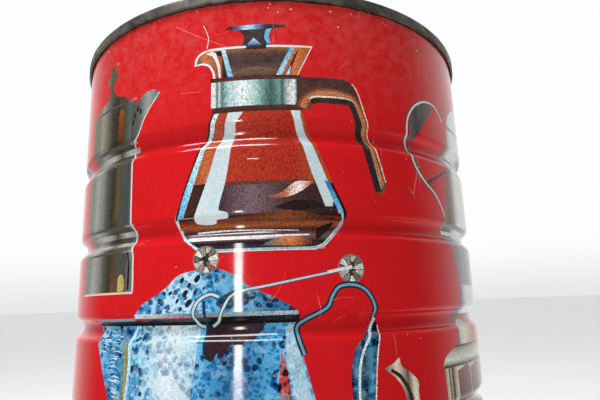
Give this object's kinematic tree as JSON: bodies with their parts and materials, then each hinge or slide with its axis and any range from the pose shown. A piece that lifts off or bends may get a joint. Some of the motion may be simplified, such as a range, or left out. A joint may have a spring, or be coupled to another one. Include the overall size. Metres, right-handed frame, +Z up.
{
  "type": "coffee tin",
  "caption": "Round beaded steel coffee can with double-seamed ends, opened mouth, soldered side seam and a printed red outside.",
  "frame": {"origin": "centre of the footprint, on the plane that the bottom double seam stands on", "axes": "+Z is up along the can's axis, -Y is the printed front, +Y is the side seam at the back"},
  "size_m": [0.1302, 0.1302, 0.1651],
  "materials": {
    "printed_tinplate": "gloss varnish over printed colour, gold lacquer inside",
    "solder": "dull tin-lead grey",
    "tinned_steel": "tarnished tinplate",
    "sealing_compound": "matte"
  },
  "bodies": {
    "root": {"can_body": "printed_tinplate", "side_seam_solder": "solder", "bottom_end": "tinned_steel", "top_end_rim": "tinned_steel", "bottom_seam_compound": "sealing_compound", "top_seam_compound": "sealing_compound"}
  },
  "joints": []
}
